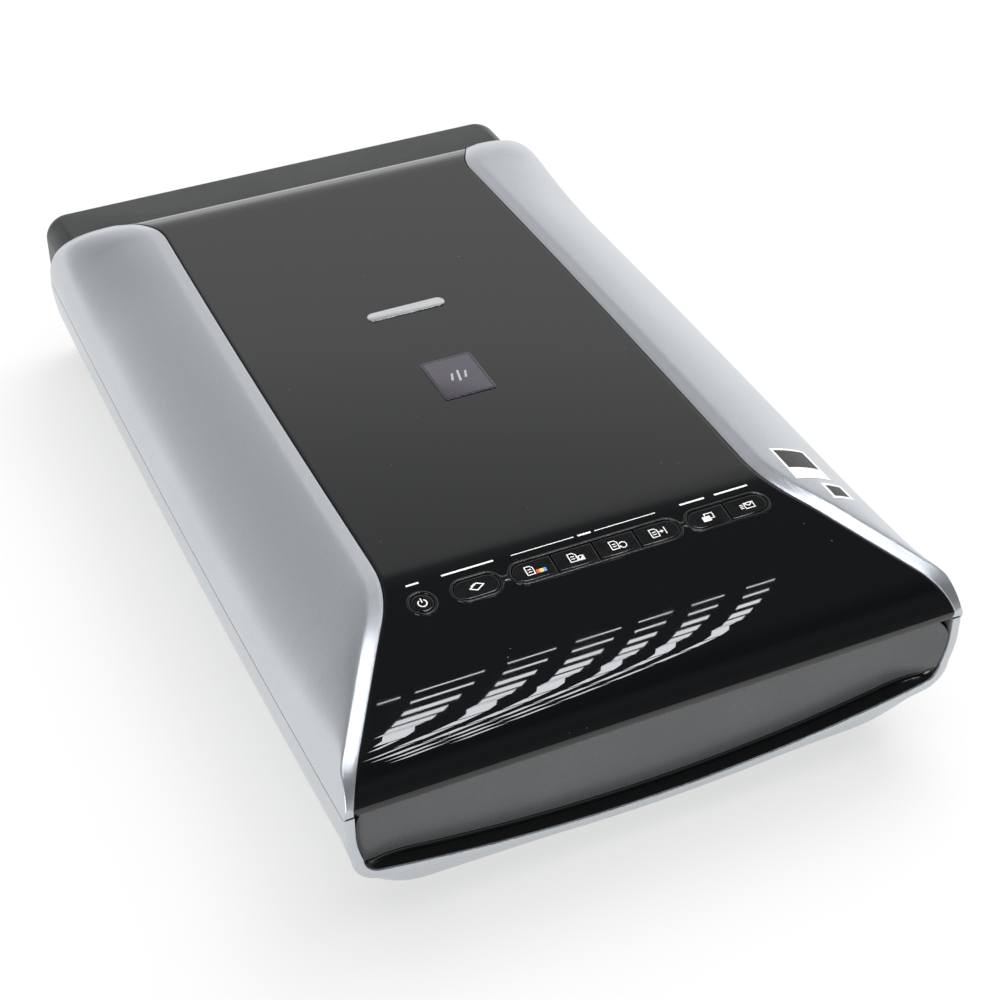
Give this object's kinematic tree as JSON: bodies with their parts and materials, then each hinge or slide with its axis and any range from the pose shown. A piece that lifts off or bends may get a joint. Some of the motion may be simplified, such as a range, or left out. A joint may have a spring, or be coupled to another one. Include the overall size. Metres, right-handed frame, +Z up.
{
  "type": "flatbed scanner",
  "caption": "Flatbed document and film scanner: glass bed, hinged lid with lift hinges and film lamp, sprung buttons on the lid, belt-driven lamp and lens carriage.",
  "frame": {"origin": "centre of the footprint on the surface the feet stand on", "axes": "+X to the right across the scanner, +Y from the user's side to the rear housing, +Z up"},
  "size_m": [0.2698, 0.436, 0.0964],
  "materials": {
    "silver_case": "satin metallic silver paint on moulded plastic",
    "black_gloss": "polished black plastic",
    "black_satin": "fine satin black plastic",
    "recess_black": "smooth satin dark grey plastic",
    "deck_grey": "fine-textured dark grey plastic",
    "platen_glass": "clear float glass",
    "white_part": "matt white plastic",
    "diffuser_white": "opal light-guide plastic",
    "mirror_glass": "front-silvered mirror glass",
    "steel": "ground steel",
    "bronze": "oiled sintered bronze",
    "pcb_green": "green solder mask on fibreglass board",
    "gear_white": "natural acetal",
    "rubber_black": "matt black rubber",
    "belt_black": "black toothed belt rubber",
    "socket_metal": "tinned steel shell",
    "button_black": "glossy black plastic with white pictogram",
    "tile_purple": "glossy purple-grey plastic tile",
    "badge_silver": "bright silver trim"
  },
  "bodies": {
    "base": {"lower_case": "silver_case", "front_panel": "recess_black", "platen_frame": "deck_grey", "platen_glass": "platen_glass", "calibration_strip": "white_part", "rear_housing": "black_satin", "socket_panel": "black_satin", "dc_jack": "black_satin", "usb_socket": "socket_metal", "main_board": "pcb_green", "flat_cable": "white_part", "feet": "rubber_black", "case_screws": "steel", "lid_bumpers": "rubber_black", "guide_rod": "steel", "rod_brackets": "steel", "slide_rail": "steel", "drive_motor": "steel", "gear_axle": "steel", "belt_tensioner": "steel", "drive_belt": "belt_black"},
    "carriage": {"carriage_housing": "deck_grey", "carriage_cover": "deck_grey", "carriage_bushes": "bronze", "lamp_bars": "diffuser_white", "scan_mirrors": "mirror_glass", "lens_barrel": "black_satin", "sensor_board": "pcb_green"},
    "gear_wheel": {"reduction_gear": "gear_white", "drive_pulley": "gear_white"},
    "pinion": {"motor_pinion": "bronze"},
    "idler": {"idler_pulley": "gear_white"},
    "lock": {"lock_switch": "deck_grey"},
    "lift": {"hinge_post_left": "black_satin", "hinge_post_right": "black_satin", "hinge_pins": "steel"},
    "lid": {"hinge_bracket_left": "steel", "hinge_bracket_right": "steel", "lid_centre_panel": "black_gloss", "lid_side_left": "silver_case", "lid_side_right": "silver_case", "lid_tray": "deck_grey", "film_light_window": "diffuser_white", "film_lamp_box": "white_part", "button_board": "pcb_green", "button_bezel": "button_black", "emblem_tile": "tile_purple", "badge_bar": "badge_silver"},
    "mat": {"document_mat": "white_part"},
    "power_button_cap": {"power_button": "button_black"},
    "auto_scan_button_cap": {"auto_scan_button": "button_black"},
    "document_button_1_cap": {"document_button_1": "button_black"},
    "document_button_2_cap": {"document_button_2": "button_black"},
    "document_button_3_cap": {"document_button_3": "button_black"},
    "document_button_4_cap": {"document_button_4": "button_black"},
    "copy_button_cap": {"copy_button": "button_black"},
    "mail_button_cap": {"mail_button": "button_black"}
  },
  "joints": [
    {"name": "hinge_lift", "type": "slide", "parent": "base", "child": "lift", "axis": [0, 0, 1], "range_m": [0, 0.02]},
    {"name": "lid_hinge", "type": "hinge", "parent": "lift", "child": "lid", "pos_m": [0, 0.19, 0.0755], "axis": [-1, 0, 0], "range_deg": [0, 90]},
    {"name": "mat_slide", "type": "slide", "parent": "lid", "child": "mat", "axis": [0, -1, 0], "range_m": [0, 0.022]},
    {"name": "carriage_slide", "type": "slide", "parent": "base", "child": "carriage", "axis": [0, -1, 0], "range_m": [0, 0.298]},
    {"name": "gear_spin", "type": "hinge", "parent": "base", "child": "gear_wheel", "pos_m": [0.01, 0.14, 0.0076], "axis": [0, 0, 1], "range_deg": [0, 2189.99]},
    {"name": "idler_spin", "type": "hinge", "parent": "base", "child": "idler", "pos_m": [0.01, -0.19, 0.0136], "axis": [0, 0, 1], "range_deg": [0, 2189.99]},
    {"name": "pinion_spin", "type": "hinge", "parent": "base", "child": "pinion", "pos_m": [0.04, 0.14, 0.0076], "axis": [0, 0, 1], "range_deg": [-8757.97, 0]},
    {"name": "lock_slide", "type": "slide", "parent": "base", "child": "lock", "axis": [0, -1, 0], "range_m": [0, 0.008]},
    {"name": "power_button_press", "type": "slide", "parent": "lid", "child": "power_button_cap", "axis": [0, 0.1533, -0.9882], "range_m": [0, 0.0008], "stiffness_N_per_m": 400, "springref_m": -0.0015},
    {"name": "auto_scan_button_press", "type": "slide", "parent": "lid", "child": "auto_scan_button_cap", "axis": [0, 0.1533, -0.9882], "range_m": [0, 0.0008], "stiffness_N_per_m": 400, "springref_m": -0.0015},
    {"name": "document_button_1_press", "type": "slide", "parent": "lid", "child": "document_button_1_cap", "axis": [0, 0.1533, -0.9882], "range_m": [0, 0.0008], "stiffness_N_per_m": 400, "springref_m": -0.0015},
    {"name": "document_button_2_press", "type": "slide", "parent": "lid", "child": "document_button_2_cap", "axis": [0, 0.1533, -0.9882], "range_m": [0, 0.0008], "stiffness_N_per_m": 400, "springref_m": -0.0015},
    {"name": "document_button_3_press", "type": "slide", "parent": "lid", "child": "document_button_3_cap", "axis": [0, 0.1533, -0.9882], "range_m": [0, 0.0008], "stiffness_N_per_m": 400, "springref_m": -0.0015},
    {"name": "document_button_4_press", "type": "slide", "parent": "lid", "child": "document_button_4_cap", "axis": [0, 0.1533, -0.9882], "range_m": [0, 0.0008], "stiffness_N_per_m": 400, "springref_m": -0.0015},
    {"name": "copy_button_press", "type": "slide", "parent": "lid", "child": "copy_button_cap", "axis": [0, 0.1533, -0.9882], "range_m": [0, 0.0008], "stiffness_N_per_m": 400, "springref_m": -0.0015},
    {"name": "mail_button_press", "type": "slide", "parent": "lid", "child": "mail_button_cap", "axis": [0, 0.1533, -0.9882], "range_m": [0, 0.0008], "stiffness_N_per_m": 400, "springref_m": -0.0015}
  ],
  "couplings": [
    {"joint": "gear_spin", "follows": "carriage_slide", "rad_per_m": 128.21},
    {"joint": "idler_spin", "follows": "carriage_slide", "rad_per_m": 128.21},
    {"joint": "pinion_spin", "follows": "carriage_slide", "rad_per_m": -512.82}
  ]
}
